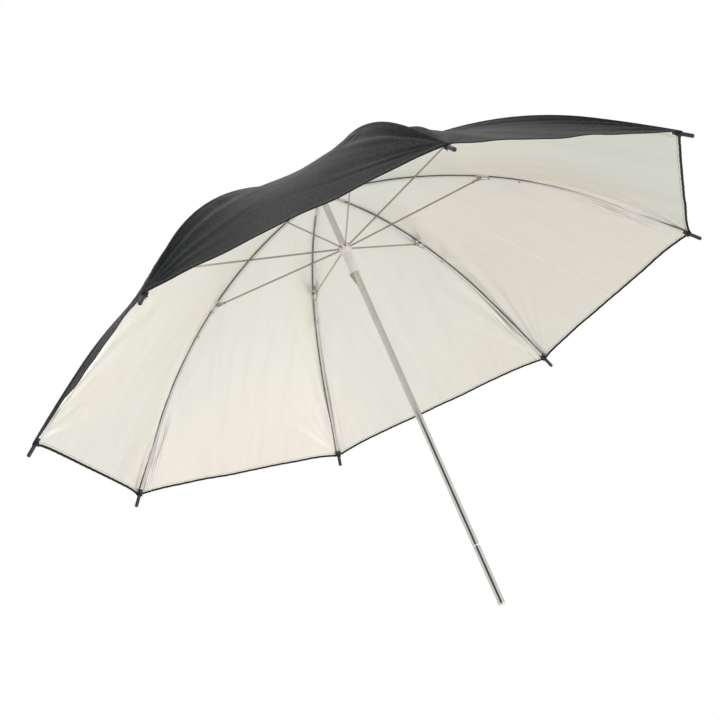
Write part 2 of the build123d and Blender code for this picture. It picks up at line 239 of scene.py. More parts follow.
# ---------------------------------------------------------------- materials
class Paint:
    """A Principled material and short ways to add nodes to it."""

    def __init__(self, name, color, roughness, metallic=0.0, **sockets):
        self.material = bpy.data.materials.new(name)
        self.material.use_nodes = True
        self.tree = self.material.node_tree
        self.shader = self.tree.nodes["Principled BSDF"]
        self.shader.inputs["Base Color"].default_value = (*color, 1)
        self.shader.inputs["Roughness"].default_value = roughness
        self.shader.inputs["Metallic"].default_value = metallic
        for socket, value in sockets.items():
            self.shader.inputs[socket.replace("_", " ")].default_value = value

    def node(self, kind, **settings):
        made = self.tree.nodes.new(kind)
        for key, value in settings.items():
            if key.startswith("in_"):
                made.inputs[key[3:].replace("_", " ")].default_value = value
            else:
                setattr(made, key, value)
        return made

    def link(self, source, target):
        self.tree.links.new(source, target)

    def place(self, uv=None, scale=(1, 1, 1)):
        """Texture place: object coordinates or a UV layer, times a scale."""
        if uv:
            source = self.node("ShaderNodeUVMap", uv_map=uv).outputs["UV"]
        else:
            source = self.node("ShaderNodeTexCoord").outputs["Object"]
        mapping = self.node("ShaderNodeMapping")
        mapping.inputs["Scale"].default_value = scale
        self.link(source, mapping.inputs["Vector"])
        return mapping.outputs["Vector"]

    def noise(self, place, scale, detail=3.0, roughness=0.5):
        made = self.node("ShaderNodeTexNoise", in_Scale=scale, in_Detail=detail, in_Roughness=roughness)
        self.link(place, made.inputs["Vector"])
        return made.outputs["Fac"]

    def wave(self, place, scale, direction, distortion=0.0):
        made = self.node("ShaderNodeTexWave", bands_direction=direction)
        made.inputs["Scale"].default_value = scale
        made.inputs["Distortion"].default_value = distortion
        self.link(place, made.inputs["Vector"])
        return made.outputs["Fac"]

    def math(self, operation, a, b=None, clamp=False):
        made = self.node("ShaderNodeMath", operation=operation, use_clamp=clamp)
        for socket, value in zip(made.inputs, (a, b)):
            if value is None:
                continue
            if isinstance(value, (int, float)):
                socket.default_value = value
            else:
                self.link(value, socket)
        return made.outputs[0]

    def ramp(self, fac, stops):
        made = self.node("ShaderNodeValToRGB")
        elements = made.color_ramp.elements
        while len(elements) < len(stops):
            elements.new(0.5)
        for element, (position, color) in zip(elements, stops):
            element.position = position
            element.color = (*color, 1) if hasattr(color, "__len__") else (color, color, color, 1)
        self.link(fac, made.inputs["Fac"])
        return made.outputs["Color"]

    def mix(self, fac, a, b, blend="MIX"):
        made = self.node("ShaderNodeMix", data_type="RGBA", blend_type=blend)
        sockets = (made.inputs[0], made.inputs[6], made.inputs[7])
        for socket, value in zip(sockets, (fac, a, b)):
            if isinstance(value, (int, float)):
                socket.default_value = value
            elif isinstance(value, tuple):
                socket.default_value = (*value, 1)
            else:
                self.link(value, socket)
        return made.outputs[2]

    def bump(self, height, strength, distance, normal=None):
        made = self.node("ShaderNodeBump", in_Strength=strength, in_Distance=distance)
        self.link(height, made.inputs["Height"])
        if normal is not None:
            self.link(normal, made.inputs["Normal"])
        return made.outputs["Normal"]

    def finish(self, color=None, roughness=None, normal=None):
        for socket, value in (("Base Color", color), ("Roughness", roughness), ("Normal", normal)):
            if value is not None:
                self.link(value, self.shader.inputs[socket])
        return self.material


def make_black_twill():
    """Outside of the canopy: fine charcoal twill with a soft nap."""
    paint = Paint("black_twill", (0.02, 0.022, 0.023), 0.7, Sheen_Weight=0.05, Sheen_Roughness=0.28)
    paint.shader.inputs["Specular IOR Level"].default_value = 0.13
    paint.shader.inputs["Sheen Tint"].default_value = (0.94, 1.0, 0.93, 1.0)
    cloth = paint.place("cloth")
    twill = paint.wave(cloth, 190.0, "DIAGONAL", 0.8)
    thread = paint.wave(cloth, 520.0, "X", 1.5)
    weave = paint.math("ADD", paint.math("MULTIPLY", twill, 0.7), paint.math("MULTIPLY", thread, 0.3))
    fuzz = paint.noise(cloth, 700.0, 2.0)
    patches = paint.noise(paint.place("cloth", (14.0, 4.0, 1.0)), 1.0, 3.0)
    shade = paint.ramp(weave, [(0.0, (0.002, 0.003, 0.004)), (1.0, (0.025, 0.032, 0.035))])
    shade = paint.mix(paint.math("MULTIPLY", patches, 0.5), shade, (0.018, 0.022, 0.023))
    slubs = paint.noise(paint.place("cloth", (300.0, 130.0, 1.0)), 1.0, 2.0)
    shade = paint.mix(1.0, shade, paint.ramp(slubs, [(0.38, 0.30), (0.62, 1.0)]), "MULTIPLY")
    normal = paint.bump(weave, 0.5, 0.0003)
    normal = paint.bump(fuzz, 0.2, 0.0003, normal)
    return paint.finish(shade, paint.ramp(fuzz, [(0.2, 0.58), (0.8, 0.80)]), normal)


def make_silver_lining():
    """Inside of the canopy: satin silver-white, with warm and cool patches, painted light and shade by side,
    a painted highlight on the middle crease and painted dark reflection streaks by the seams.
    """
    paint = Paint("silver_lining", (0.8, 0.79, 0.76), 0.34, 0.75)
    cloth = paint.place("cloth")
    split = paint.node("ShaderNodeSeparateXYZ")
    paint.link(cloth, split.inputs[0])
    beside = paint.math("ABSOLUTE", split.outputs[0])
    patches = paint.noise(paint.place(), 3.1, 1.5)
    spread = (0.36, 0.50, 0.64)
    cool_tints = ((0.86, 0.88, 0.81), (0.89, 0.88, 0.80), (0.92, 0.87, 0.80))
    warm_tints = ((0.91, 0.90, 0.82), (0.94, 0.90, 0.82), (0.95, 0.88, 0.80))
    cool = paint.ramp(patches, list(zip(spread, cool_tints)))
    warm = paint.ramp(patches, list(zip(spread, warm_tints)))
    # painted light and shade: the lining is mixed warmer and a little lighter towards −y, and darkened to
    # 0.91 towards −x
    where = paint.node("ShaderNodeSeparateXYZ")
    paint.link(paint.place(scale=(4.0, -3.0, 1.0)), where.inputs[0])
    tint = paint.mix(paint.math("ADD", where.outputs[1], 0.15, clamp=True), cool, warm)
    painted_side_shade = paint.math("ADD", where.outputs[0], 0.9, clamp=True)
    tint = paint.mix(1.0, tint, paint.ramp(painted_side_shade, [(0.0, (0.91, 0.91, 0.90)), (1.0, 1.0)]), "MULTIPLY")
    streaks = paint.noise(paint.place("cloth", (70.0, 5.0, 1.0)), 1.0, 4.0, 0.6)
    tint = paint.mix(0.2, tint, paint.ramp(streaks, [(0.3, 0.80), (0.5, 0.95), (0.7, 1.0)]), "MULTIPLY")
    # painted highlight: a broken pale line down the middle of the gore, where the crease catches the light;
    # it also drives a small bump
    broken = paint.noise(paint.place("cloth", (30.0, 45.0, 1.0)), 1.0, 2.0)
    line = paint.math("SUBTRACT", 1.0, paint.math("MULTIPLY", beside, 900.0), clamp=True)
    line = paint.math("MULTIPLY", line, paint.ramp(broken, [(0.42, 0.0), (0.55, 1.0)]))
    tint = paint.mix(paint.math("MULTIPLY", line, 0.7), tint, (0.97, 0.96, 0.92))
    share = paint.node("ShaderNodeSeparateXYZ")
    paint.link(paint.place("gore"), share.inputs[0])
    aside = paint.math("ABSOLUTE", paint.math("SUBTRACT", share.outputs[0], 0.5))
    # painted reflection: dark brownish streaks beside the seams towards the hem, standing in for the dark
    # surroundings mirrored in the creased satin; the same mask also raises a small bump
    at_seam = paint.ramp(aside, [(0.435, 0.0), (0.462, 1.0), (0.484, 1.0), (0.490, 0.0)])
    at_hem = paint.ramp(share.outputs[1], [(0.66, 0.0), (0.84, 1.0), (0.985, 1.0), (1.0, 0.3)])
    drift = paint.node("ShaderNodeVectorMath", operation="ADD")
    paint.link(paint.place("gore", (115.0, 5.0, 1.0)), drift.inputs[0])
    paint.link(paint.place(scale=(13.0, 13.0, 0.0)), drift.inputs[1])
    lines = paint.noise(drift.outputs[0], 1.0, 2.0, 0.4)
    some = paint.ramp(paint.noise(paint.place(), 6.0, 1.0), [(0.44, 0.12), (0.56, 1.0)])
    painted_dark_streaks = paint.math("MULTIPLY", at_seam, paint.ramp(lines, [(0.54, 0.0), (0.60, 1.0)]))
    painted_dark_streaks = paint.math("MULTIPLY", painted_dark_streaks, paint.math("MULTIPLY", at_hem, some))
    tint = paint.mix(paint.math("MULTIPLY", painted_dark_streaks, 0.85), tint, (0.38, 0.33, 0.30))
    threads = paint.wave(cloth, 420.0, "X")
    grain = paint.noise(cloth, 600.0, 2.0)
    crumple = paint.noise(paint.place("cloth", (28.0, 16.0, 1.0)), 1.0, 3.0, 0.55)
    normal = paint.bump(threads, 0.10, 0.0001)
    normal = paint.bump(grain, 0.12, 0.0002, normal)
    normal = paint.bump(streaks, 0.15, 0.0010, normal)
    normal = paint.bump(crumple, 0.30, 0.0025, normal)
    normal = paint.bump(line, 0.5, 0.0005, normal)
    normal = paint.bump(painted_dark_streaks, 0.4, 0.0006, normal)
    return paint.finish(tint, paint.ramp(streaks, [(0.3, 0.36), (0.7, 0.44)]), normal)


def make_metal(name, color, roughness, grain=None, strength=0.0):
    """Plated metal with a little uneven polish and, where grain is given, fine drawing marks."""
    paint = Paint(name, color, roughness, 1.0)
    normal = None
    if grain:
        marks = paint.noise(paint.place(scale=(1.0, 1.0, 0.06)), grain, 3.0)
        normal = paint.bump(marks, strength, 0.0001)
    wear = paint.noise(paint.place(), 60.0, 3.0)
    tone = paint.mix(wear, tuple(c * 0.78 for c in color), color)
    rough = paint.ramp(wear, [(0.3, roughness * 0.8), (0.7, roughness * 1.3)])
    return paint.finish(tone, rough, normal)


def make_plastic(name, color, roughness, grain):
    """Moulded plastic with a faint grain."""
    paint = Paint(name, color, roughness)
    grain_out = paint.noise(paint.place(), grain, 3.0)
    blotch = paint.noise(paint.place(), 90.0, 2.0)
    tone = paint.mix(blotch, tuple(c * 0.86 for c in color), color)
    rough = paint.ramp(grain_out, [(0.3, roughness * 0.85), (0.7, roughness * 1.2)])
    return paint.finish(tone, rough, paint.bump(grain_out, 0.12, 0.0002))


def make_thread(name, color):
    """Twisted sewing thread."""
    paint = Paint(name, color, 0.8, Sheen_Weight=0.1)
    twist = paint.wave(paint.place(), 900.0, "DIAGONAL", 1.0)
    tone = paint.mix(twist, tuple(c * 0.5 for c in color), color)
    return paint.finish(tone, None, paint.bump(twist, 0.4, 0.0002))


BLACK = make_black_twill()
SILVER = make_silver_lining()
CHROME = make_metal("shaft_chrome", (0.76, 0.75, 0.73), 0.13)
STEEL = make_metal("rib_steel", (0.78, 0.79, 0.77), 0.20, 800.0, 0.10)
# painted reflection: the stretcher steel is given a dim reddish-brown colour, standing in for the warm lining
# it mirrors
BAR_STEEL = make_metal("stretcher_steel", (0.50, 0.43, 0.39), 0.12, 800.0, 0.04)
WIRE = make_metal("wire_steel", (0.40, 0.39, 0.38), 0.30, 900.0, 0.15)
SPRING = make_metal("spring_steel", (0.56, 0.50, 0.42), 0.25, 900.0, 0.10)
BLACK_PLASTIC = make_plastic("black_plastic", (0.020, 0.020, 0.021), 0.38, 900.0)
WHITE_PLASTIC = make_plastic("white_plastic", (0.80, 0.75, 0.72), 0.35, 500.0)
THREAD = make_thread("black_thread", (0.025, 0.025, 0.025))
PALE_THREAD = make_thread("pale_thread", (0.70, 0.70, 0.66))


def repaint_cad():
    """Gives every shown CAD node its finish."""
    finishes = {
        "shaft_tube": CHROME,
        "shaft_end_plug": CHROME,
        "spring_catch": SPRING,
        "notch": WHITE_PLASTIC,
        "runner": WHITE_PLASTIC,
        "top_cap": BLACK_PLASTIC,
        "canopy_washer": BLACK_PLASTIC,
    }
    for name in frame["nodes"]:
        material = finishes.get(name, WIRE)
        if name.startswith("rib_tip"):
            material = BLACK_PLASTIC
        elif name.startswith("stretcher"):
            material = BAR_STEEL
        elif name.startswith("rib_"):
            material = STEEL
        data = bpy.data.objects[name].data if name in bpy.data.objects else frame["nodes"][name].data
        data.materials.clear()
        data.materials.append(material)


# ---------------------------------------------------------------- canopy shape
def corner_creases(number, side):
    """Creases that fan out from a sewn corner: angle from the seam, width, depth and reach of each."""
    random = np.random.default_rng(CORNER_SEED + 2 * number + side)
    creases = [
        (0.110 + random.uniform(-0.02, 0.02), 0.045, -0.0034, 0.080),
        (0.215 + random.uniform(-0.02, 0.02), 0.050, 0.0018, 0.065),
    ]
    for angle in (0.34, 0.50, 0.66, 0.82, 0.98):
        turn = angle + random.uniform(-0.05, 0.05)
        depth = random.choice([-1, 1]) * random.uniform(0.0007, 0.0017)
        creases.append((turn, random.uniform(0.035, 0.060), depth, random.uniform(0.018, 0.045)))
    return creases


def tie_creases(number, side):
    """Short creases around the thread that ties the cloth to a rib."""
    random = np.random.default_rng(TIE_SEED + 2 * number + side)
    creases = []
    for angle in (0.7, 1.15, 1.6, 2.05, 2.5):
        depth = random.choice([-1, 1]) * random.uniform(0.0004, 0.0011)
        creases.append((angle + random.uniform(-0.15, 0.15), 0.16, depth, random.uniform(0.014, 0.030)))
    return creases


def seam_pleats(number, side):
    """Sharp pleats that run beside a seam: offset, lean, width, depth, first and last distance of each."""
    random = np.random.default_rng(PLEAT_SEED + 2 * number + side)
    pleats = []
    offset = 0.0052
    for _ in range(3):
        start = random.uniform(0.30, 0.38)
        end = start + random.uniform(0.05, 0.11)
        depth = random.uniform(0.00035, 0.00070) * PLEAT_DEPTHS.get((number, side), 1.0)
        lean = random.uniform(-0.02, 0.03)
        pleats.append((offset, lean, random.uniform(0.0016, 0.0024), depth, start, end))
        offset += random.uniform(0.0035, 0.0060)
    return pleats


def pleated(distance, beside, pleats):
    """Height of pleats that run beside a seam."""
    height = np.zeros_like(distance)
    for offset, lean, width, depth, start, end in pleats:
        part = np.clip((distance - start) / (end - start), 0.0, 1.0)
        middle = offset + lean * (distance - start) + 0.0008 * np.sin(pi * 5 * part + 900 * offset)
        height -= depth * np.sin(pi * part) ** 0.7 * np.exp(-(((beside - middle) / width) ** 2))
    return height


def fan(along, beside, creases):
    """Height of a fan of creases around a point, from the distances along and away from the seam."""
    reach = np.hypot(along, beside)
    turn = np.arctan2(beside, along)
    height = np.zeros_like(reach)
    for angle, width, depth, length in creases:
        swell = reach / length * np.exp(1 - reach / length)
        narrow = width * reach
        broad = np.hypot(narrow, FINEST_CREASE)
        height += depth * swell * narrow / broad * np.exp(-(((turn - angle) * reach) / broad) ** 2)
    return height


def soft_folds(number, distance, across):
    """Long low folds, drawn from the top towards the hem."""
    random = np.random.default_rng(FOLD_SEED + number)
    height = np.zeros_like(distance)
    for wide, deep in ((0.060, 0.00030), (0.095, 0.00045), (0.150, 0.00060)):
        phase, drift = random.uniform(0, 2 * pi), random.uniform(-0.25, 0.25)
        height += deep * np.sin(2 * pi * (across + drift * distance) / wide + phase)
    return height * distance / GORE_LENGTH


def gore_points(number, distances, shares):
    """Middle surface of a gore, and its outward normals, on rows of distances and columns of shares."""
    angle = (number - 1) * RIB_STEP
    distance, share = np.meshgrid(distances, shares, indexing="ij")
    beyond = np.minimum(distance, 0.0)
    distance = np.maximum(distance, 0.0)
    part = distance / GORE_LENGTH
    pull = HEM_HOLLOW * (1 - np.abs(2 * share - 1) ** HOLLOW_POWER)
    station = distance - pull * part ** 6
    radius, _, slope = rib_station(station)
    near = rib_point(angle, station, CLOTH_RISE)
    far = rib_point(angle + RIB_STEP, station, CLOTH_RISE)
    middle = outward(angle + RIB_STEP / 2)
    points = near * (1 - share[..., None]) + far * share[..., None] + beyond[..., None] * middle
    normal = middle * np.sin(slope)[..., None] + np.array([0.0, 0.0, 1.0]) * np.cos(slope)[..., None]
    width = 2 * sin(pi / RIBS) * radius
    hollow = 4 * share * (1 - share)
    ripple = soft_folds(number, distance, (share - 0.5) * width)
    for side, beside in enumerate((share * width, (1 - share) * width)):
        ripple += fan(GORE_LENGTH - distance, beside, corner_creases(number, side))
        ripple += fan(TIE_DISTANCE - distance, beside, tie_creases(number, side))
        ripple += 0.6 * fan(RIVET_DISTANCE - distance, beside, tie_creases(number + 20, side))
        ripple += pleated(distance, beside, seam_pleats(number, side))
    sag = SAG * SAG_SHARES.get(number, 1.0)
    height = ripple * np.minimum(1.0, 14 * hollow) - sag * np.sin(pi * part ** 1.3) * hollow
    points = points + normal * height[..., None]
    normals = np.cross(np.gradient(points, axis=1), np.gradient(points, axis=0))
    normals /= np.linalg.norm(normals, axis=2, keepdims=True)
    if normals[len(distances) // 2, len(shares) // 2, 2] < 0:
        normals = -normals
    for column, seam in ((0, angle), (-1, angle + RIB_STEP)):
        if shares[column] in (0.0, 1.0):
            seam_slope = slope[:, column, None]
            normals[:, column] = outward(seam) * np.sin(seam_slope) + [0.0, 0.0, 1.0] * np.cos(seam_slope)
    return points, normals


def gore_shares():
    """Shares across a gore, closer together beside the seams."""
    steps = np.arange(COLUMNS) / (COLUMNS - 1)
    return 0.75 * (0.5 - 0.5 * np.cos(pi * steps)) + 0.25 * steps


def gore_rows():
    """Distances along a gore, the last ones at the hem's edges."""
    start = TOP_RADIUS - HINGE[0]
    end = GORE_LENGTH - HEM_OUTSIDE
    steps = np.arange(ROWS) / (ROWS - 1)
    rows = start + (end - start) * (0.55 * steps + 0.45 * np.sin(pi / 2 * steps))
    last = [GORE_LENGTH - d for d in (STITCH_LINE, HEM_INSIDE, HEM_FOLD, 0.0)]
    return np.concatenate([rows, last])


SHARES = gore_shares()
DISTANCES = gore_rows()
SHAPES = {number: gore_points(number, DISTANCES, SHARES) for number in range(1, RIBS + 1)}


def add_layers(piece, cloth_uv, gore_uv):
    """Two UV layers: metres on the flat cloth, and share of the gore's width and length."""
    for name, values in (("cloth", cloth_uv), ("gore", gore_uv)):
        layer = piece.data.uv_layers.new(name=name)
        loops = np.zeros(len(piece.data.loops), dtype=np.int32)
        piece.data.loops.foreach_get("vertex_index", loops)
        layer.data.foreach_set("uv", np.asarray(values, dtype=np.float32)[loops].ravel())


def follow_ribs(piece, number, shares):
    """The cloth stays sewn to both its ribs as they fold, and blends straight between them."""
    rig = RIGS[number]
    near, far = piece.vertex_groups.new(name="near"), piece.vertex_groups.new(name="far")
    for index, share in enumerate(shares):
        near.add([index], 1 - share, "REPLACE")
        far.add([index], share, "REPLACE")
    bend = piece.modifiers.new("ribs", "ARMATURE")
    bend.object = rig


def make_rig(number):
    """Two bones that copy the bodies of the ribs at a gore's sides."""
    data = bpy.data.armatures.new(f"gore_rig_{number}")
    rig = bpy.data.objects.new(f"gore_rig_{number}", data)
    bpy.context.scene.collection.objects.link(rig)
    bpy.context.view_layer.objects.active = rig
    bpy.ops.object.mode_set(mode="EDIT")
    for name in ("near", "far"):
        bone = data.edit_bones.new(name)
        bone.head = (0, 0, 0)
        bone.tail = (0, 0.1, 0)
    bpy.ops.object.mode_set(mode="OBJECT")
    for name, rib in (("near", number), ("far", number % RIBS + 1)):
        copy = rig.pose.bones[name].constraints.new("COPY_TRANSFORMS")
        copy.target = bpy.data.objects[f"body:rib_{rib}"]
    rig.parent = bpy.data.objects[f"body:gore_{number}"]
    return rig


RIGS = {number: make_rig(number) for number in range(1, RIBS + 1)}


def make_gore(number):
    """One sewn gore: dark outside and silvery inside, as one thin closed shell."""
    points, normals = SHAPES[number]
    rows, columns = points.shape[:2]
    outer = points + normals * CLOTH_THICKNESS / 2
    inner = points - normals * CLOTH_THICKNESS / 2
    vertices = np.concatenate([outer.reshape(-1, 3), inner.reshape(-1, 3)])
    outside, inside, rim = shell_faces(rows, columns)
    gore = add_object(f"canopy_gore_{number}", vertices, outside + inside + rim)
    gore.data.materials.append(BLACK)
    gore.data.materials.append(SILVER)
    slots = [0] * len(outside) + [1] * len(inside) + [0] * len(rim)
    gore.data.polygons.foreach_set("material_index", slots)
    distance, share = np.meshgrid(DISTANCES, SHARES, indexing="ij")
    width = 2 * sin(pi / RIBS) * rib_station(np.maximum(distance, 0.0))[0]
    cloth = np.stack([(share - 0.5) * width, distance], axis=-1).reshape(-1, 2)
    place = np.stack([share, distance / GORE_LENGTH], axis=-1).reshape(-1, 2)
    add_layers(gore, np.concatenate([cloth, cloth]), np.concatenate([place, place]))
    follow_ribs(gore, number, np.tile(share.ravel(), 2))
    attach(gore, f"gore_{number}")
    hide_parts(f"canopy_panel_{number}")
    return gore


def between_columns(values, parts):
    """Rows of values with extra columns, straight between the given ones."""
    steps = np.arange((COLUMNS - 1) * parts + 1) / parts
    whole = np.arange(COLUMNS)
    flat = values.reshape(values.shape[0], COLUMNS, -1)
    made = [[np.interp(steps, whole, line) for line in row.T] for row in flat]
    return np.array(made).transpose(0, 2, 1)


def make_hem(number):
    """Dark folded hem of a gore: it wraps the edge, broad outside and narrow inside."""
    points = between_columns(SHAPES[number][0][-HEM_ROWS:], 4)
    normals = between_columns(SHAPES[number][1][-HEM_ROWS:], 4)
    share = between_columns(SHARES[None, :, None], 4)[0, :, 0]
    outward_edge = points[4] - points[3]
    outward_edge /= np.linalg.norm(outward_edge, axis=1, keepdims=True)
    run = share[:, None] * 2 * sin(pi / RIBS) * CORNER_RADIUS
    wave = 0.00012 * np.sin(2 * pi * run / 0.0046) + 0.0001 * np.sin(2 * pi * run / 0.0171 + number)
    half = CLOTH_THICKNESS / 2
    over, under = half + 0.00022, half + 0.00034
    ring = [
        points[0] + normals[0] * (half - 0.0001),
        points[0] + normals[0] * over,
        points[1] + normals[1] * over,
        points[2] + normals[2] * over,
        points[3] + normals[3] * over,
        points[4] + normals[4] * (over - 0.00004),
        points[4] + normals[4] * over * 0.6 + outward_edge * (0.00050 + wave),
        points[4] + outward_edge * (0.00072 + wave),
        points[4] - normals[4] * under * 0.6 + outward_edge * (0.00050 + wave),
        points[4] - normals[4] * under,
        points[3] - normals[3] * under,
        points[2] - normals[2] * under + outward_edge * wave * 1.5,
        points[2] - normals[2] * (half - 0.0001),
    ]
    stack = np.stack(ring, axis=1)
    columns, sides = stack.shape[:2]
    hem = add_object(f"hem_{number}", stack.reshape(-1, 3), rod_faces(columns, sides))
    hem.data.materials.append(BLACK)
    cloth = np.stack([np.repeat(run[:, 0], sides), np.tile(np.arange(sides) * 0.0009, columns)], axis=-1)
    place = np.stack([np.repeat(share, sides), np.ones(columns * sides)], axis=-1)
    add_layers(hem, cloth, place)
    follow_ribs(hem, number, np.repeat(share, sides))
    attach(hem, f"gore_{number}")
    return hem


def stitch_row(line, normals, lift, start, pitch, length, thread):
    """Stitches along a line of points: their tubes, and how far along the line each one is."""
    lengths = lengths_along(line)
    tubes, places = [], []
    for place in np.arange(start, lengths[-1] - start, pitch):
        centre = []
        for where in (place - length / 2, place, place + length / 2):
            point = [np.interp(where, lengths, line[:, k] + normals[:, k] * lift) for k in range(3)]
            centre.append(point)
        tubes.append(tube(centre, [thread / 2, thread, thread / 2], 5))
        places.append(place / lengths[-1])
    return tubes, places


def make_hem_stitches(number):
    """Row of stitches along the inside of the hem."""
    points, normals = SHAPES[number]
    lift = -CLOTH_THICKNESS / 2 - 0.00006
    row = -4        # the row of points at STITCH_LINE
    tubes, places = stitch_row(
        points[row], normals[row], lift, start=0.004, pitch=0.0040, length=0.0022, thread=0.00027
    )
    shares = np.repeat(np.array(places), [len(vertices) for vertices, _ in tubes])
    stitches = add_object(f"hem_stitches_{number}", *joined(tubes))
    stitches.data.materials.append(THREAD)
    follow_ribs(stitches, number, shares)
    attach(stitches, f"gore_{number}")
    return stitches


def seam_rows(number, sides, lift):
    """Lines of points along both sides of a rib's seam, lifted from the cloth: one line for each side."""
    before = (number - 2) % RIBS + 1
    rows = DISTANCES[SEAM_ROWS]
    angle = (number - 1) * RIB_STEP
    lines = []
    for side, rise in zip(sides, lift):
        if side == 0:
            lines.append(rib_point(angle, rows, CLOTH_RISE + rise))
            continue
        gore = number if side > 0 else before
        points, normals = (shape[SEAM_ROWS] for shape in SHAPES[gore])
        width = 2 * sin(pi / RIBS) * rib_station(rows)[0]
        share = np.minimum(abs(side) / width, 0.48)
        if side < 0:
            share = 1 - share
        line = np.zeros((len(rows), 3))
        for row in range(len(rows)):
            for k in range(3):
                line[row, k] = np.interp(share[row], SHARES, points[row, :, k] + normals[row, :, k] * rise)
        lines.append(line)
    return np.stack(lines, axis=1)


def make_seam_strip(name, number, reach, inner, outer, material):
    """A thin strip over a seam, from the lift inner to three outer ones, at its edge, flank and crown."""
    edge, flank, crown = outer
    sides = [reach * step for step in (-1.0, -0.6, -0.25, 0.0, 0.25, 0.6, 1.0)]
    low = seam_rows(number, sides, [inner] * len(sides))
    high = seam_rows(number, sides, [edge, flank, flank, crown, flank, flank, edge])
    ring = np.concatenate([high, low[:, ::-1]], axis=1)
    rows, count = ring.shape[:2]
    strip = add_object(f"{name}_{number}", ring.reshape(-1, 3), rod_faces(rows, count))
    strip.data.materials.append(material)
    around = np.tile(np.arange(count) * reach / 3, rows)
    cloth = np.stack([around, np.repeat(DISTANCES[SEAM_ROWS], count)], axis=-1)
    add_layers(strip, cloth, cloth / GORE_LENGTH)
    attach(strip, f"rib_{number}")
    return strip


def make_seam_stitches(number):
    """Overlocked thread along both edges of the seam allowance, inside the canopy."""
    tubes = []
    for side in (-1, 1):
        line = seam_rows(number, [side * SEAM_INSIDE_REACH], [-0.00055])[:, 0]
        lengths = lengths_along(line)
        places = np.arange(0.012, lengths[-1] - 0.004, 0.0016)
        centre = np.stack([np.interp(places, lengths, line[:, k]) for k in range(3)], axis=1)
        thick = np.where(np.arange(len(places)) % 2 == 0, 0.00018, 0.00034)
        tubes.append(tube(centre, thick, 5))
    stitches = add_object(f"seam_stitches_{number}", *joined(tubes))
    stitches.data.materials.append(THREAD)
    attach(stitches, f"rib_{number}")


def frame_of_rib(angle, distance):
    """Along, outward and across directions of a rib at a distance."""
    slope = float(rib_station(distance)[2])
    away = outward(angle)
    up = np.array([0.0, 0.0, 1.0])
    along = away * cos(slope) - up * sin(slope)
    rise = away * sin(slope) + up * cos(slope)
    return along, rise, np.cross(rise, along)


def winding(angle, distance, turns, pitch, half_width, low, high, thread):
    """Thread wound around a rib, with two short loose ends."""
    along, rise, across = frame_of_rib(angle, distance)
    centre = rib_point(angle, distance, 0.0).ravel()
    corner = 0.0005
    loop = [
        (half_width, low + corner), (half_width, high - corner), (half_width - corner, high),
        (-half_width + corner, high), (-half_width, high - corner), (-half_width, low + corner),
        (-half_width + corner, low), (half_width - corner, low),
    ]
    path = []
    for turn in range(turns):
        for step, (x, y) in enumerate(loop):
            shift = (turn + step / len(loop) - turns / 2) * pitch
            path.append(centre + along * shift + across * x + rise * y)
    smooth = []
    for a, b in zip(path, path[1:]):
        smooth += [a * (1 - t) + b * t for t in (0.0, 0.34, 0.67)]
    smooth.append(path[-1])
    parts = [tube(smooth, thread, 6)]
    for sign in (-1, 1):
        start = centre + rise * (low - thread * 0.5)
        tail = []
        for t in (0.0, 0.35, 0.7, 1.0):
            tail.append(start + across * sign * 0.0022 * t + along * 0.0030 * t * t - rise * 0.0016 * t)
        parts.append(tube(tail, [thread, thread, thread * 0.9, thread * 0.5], 6))
    knot = [centre + rise * (low - thread) + across * 0.0007 * (t - 0.5) for t in (0.0, 0.5, 1.0)]
    parts.append(tube(knot, [thread * 0.8, thread * 2.0, thread * 0.8], 8))
    return parts


def make_joint_pad(number):
    """Small folded piece of lining between the cloth and the rib's joint, with its corners turned in."""
    half_length, half_width = 0.0080, 0.0062
    rows, columns = 15, 13
    before = (number - 2) % RIBS + 1
    random = np.random.default_rng(PAD_SEED + number)
    along = np.linspace(-half_length, half_length, rows)
    wobble = random.uniform(0.85, 1.1, (rows, 2))
    centre = RIVET_DISTANCE + 0.0015
    top = np.zeros((rows, columns, 3))
    low = np.zeros_like(top)
    for j, place in enumerate(np.linspace(-1, 1, columns)):
        for i in range(rows):
            taper = 1 - 0.45 * abs(along[i] / half_length) ** 3
            side = place * half_width * taper * wobble[i, 0 if place < 0 else 1]
            gore = number if side >= 0 else before
            distance = centre + along[i]
            width = 2 * sin(pi / RIBS) * rib_station(distance)[0]
            share = abs(side) / width
            share = share if side >= 0 else 1 - share
            points, normals = SHAPES[gore]
            row = np.interp(distance, DISTANCES, np.arange(len(DISTANCES)))
            first, part = int(row), row - int(row)
            grid = points[first] * (1 - part) + points[first + 1] * part
            away = normals[first] * (1 - part) + normals[first + 1] * part
            spot = np.array([np.interp(share, SHARES, grid[:, k]) for k in range(3)])
            normal = np.array([np.interp(share, SHARES, away[:, k]) for k in range(3)])
            crumple = 0.00022 * sin(900 * along[i] + 3 * place + number) * abs(place)
            top[i, j] = spot - normal * (CLOTH_THICKNESS / 2 + 0.00004)
            low[i, j] = spot - normal * (CLOTH_THICKNESS / 2 + 0.00040 + crumple + 0.0006 * abs(place))
    vertices = np.concatenate([top.reshape(-1, 3), low.reshape(-1, 3)])
    outside, inside, rim = shell_faces(rows, columns)
    pad = add_object(f"joint_pad_{number}", vertices, outside + inside + rim)
    pad.data.materials.append(SILVER)
    cloth = np.stack(np.meshgrid(along, np.arange(columns) * 0.001, indexing="ij"), -1).reshape(-1, 2)
    cloth = np.tile(cloth, (2, 1))
    add_layers(pad, cloth, cloth)
    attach(pad, f"rib_{number}")
    tubes = []
    for column in (1, columns - 2):
        for row in (2, 5, 8, 11):
            first, last = low[row, column], low[row + 1, column]
            tubes.append(tube([first, (first + last) / 2, last], [0.0003, 0.00055, 0.0003], 6))
    stitches = add_object(f"pad_stitches_{number}", *joined(tubes))
    stitches.data.materials.append(THREAD)
    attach(stitches, f"rib_{number}")


